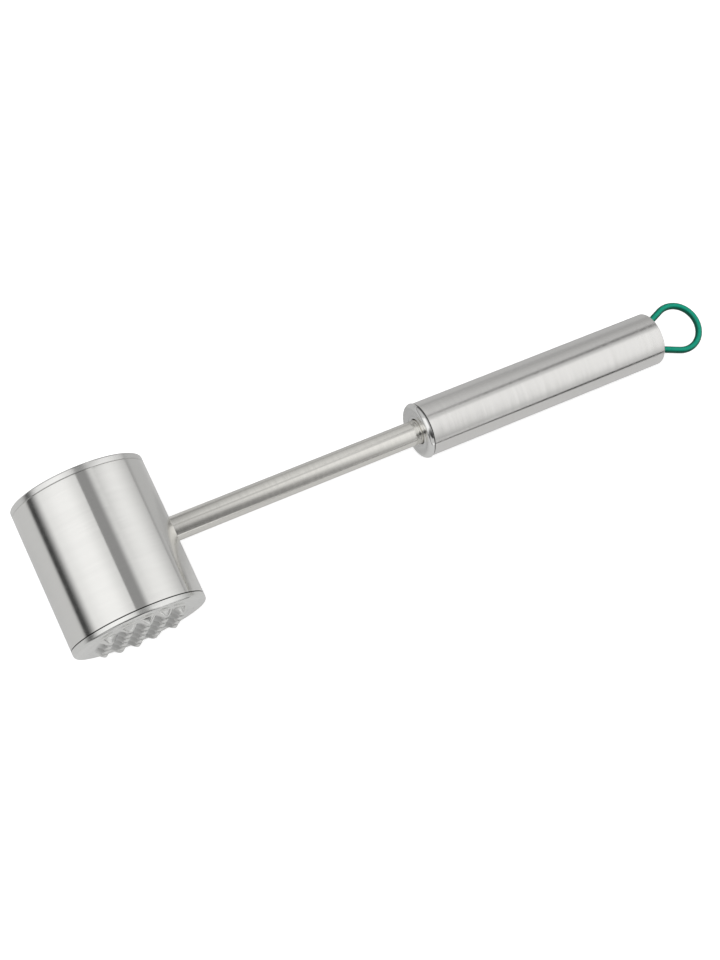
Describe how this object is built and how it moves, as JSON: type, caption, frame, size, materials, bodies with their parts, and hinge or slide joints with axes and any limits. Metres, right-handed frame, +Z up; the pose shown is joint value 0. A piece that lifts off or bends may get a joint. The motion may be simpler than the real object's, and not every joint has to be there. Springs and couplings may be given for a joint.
{
  "type": "meat pounder",
  "caption": "Steel meat pounder with a cylindrical head, toothed and smooth striking faces, a round shaft, a tubular handle and a swinging hanging ring.",
  "frame": {"origin": "bottom centre of the whole tool's bounding box, on the table that it lies on", "axes": "+X along the handle from the head to the hanging ring, +Y along the head's axis to the smooth striking face, +Z up"},
  "size_m": [0.2956, 0.0616, 0.052],
  "materials": {
    "barrel_steel": "satin, brushed round the barrel",
    "cast_steel": "satin cast and tumbled",
    "face_steel": "fine turned polish",
    "shaft_steel": "satin",
    "handle_steel": "fine brushed round the tube",
    "polished_steel": "polished",
    "plain_steel": "turned, unpolished",
    "wire_steel": "drawn spring wire",
    "green_sleeve": "smooth, slightly glossy"
  },
  "bodies": {
    "pounder": {"head_barrel": "barrel_steel", "toothed_face": "cast_steel", "smooth_face": "face_steel", "head_core": "plain_steel", "head_pin": "plain_steel", "shaft": "shaft_steel", "front_cap": "polished_steel", "handle_bush": "plain_steel", "bush_pin": "plain_steel", "handle_tube": "handle_steel", "rear_plug": "face_steel"},
    "hanging_ring": {"ring_wire": "wire_steel", "ring_sleeve": "green_sleeve"}
  },
  "joints": [
    {"name": "ring_swing", "type": "hinge", "parent": "pounder", "child": "hanging_ring", "pos_m": [0.11897, 0.00205, 0.01114], "axis": [0, 1, 0], "range_deg": [-16, 16]}
  ]
}
